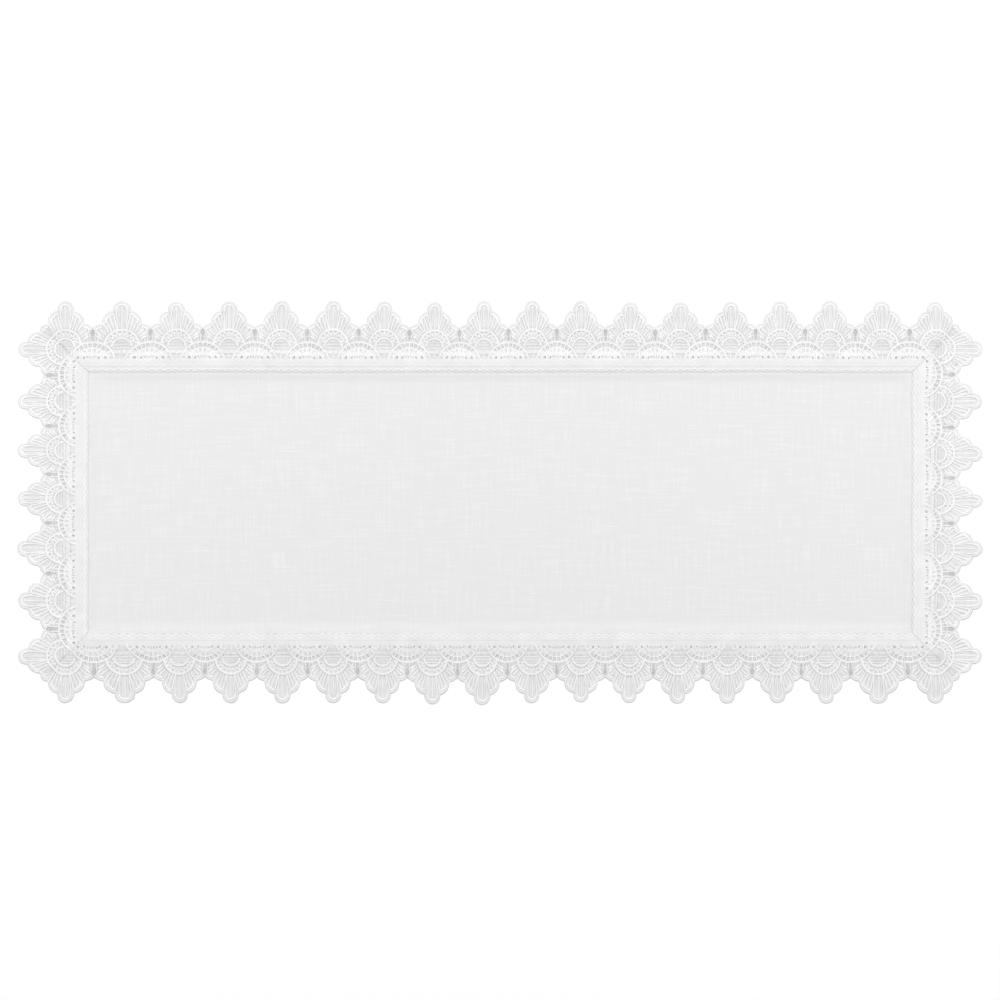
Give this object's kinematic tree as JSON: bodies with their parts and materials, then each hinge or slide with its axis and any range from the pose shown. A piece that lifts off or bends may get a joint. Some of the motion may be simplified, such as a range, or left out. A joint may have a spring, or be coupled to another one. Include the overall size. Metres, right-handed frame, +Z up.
{
  "type": "table runner",
  "caption": "Rectangular table runner: a plain slub-weave cloth panel with a turned hem, framed by mitred strips of scalloped guipure lace sewn on with rows of lockstitch.",
  "frame": {"origin": "middle of the underside, on the table the runner lies on", "axes": "+X along the runner's length, +Y across it to the back edge, +Z up, out of the cloth"},
  "size_m": [0.9144, 0.381, 0.0041],
  "materials": {
    "panel_cloth": "matt white slub plain weave",
    "lace": "white embroidered guipure lace, slightly lustrous thread",
    "sewing_thread": "white spun sewing thread"
  },
  "bodies": {
    "root": {"centre_panel": "panel_cloth", "lace_front": "lace", "lace_back": "lace", "lace_left": "lace", "lace_right": "lace", "corner_seam_front_left": "sewing_thread", "corner_seam_front_right": "sewing_thread", "corner_seam_back_right": "sewing_thread", "corner_seam_back_left": "sewing_thread", "outer_row_needle_thread": "sewing_thread", "outer_row_bobbin_thread": "sewing_thread", "inner_row_needle_thread": "sewing_thread", "inner_row_bobbin_thread": "sewing_thread"}
  },
  "joints": []
}
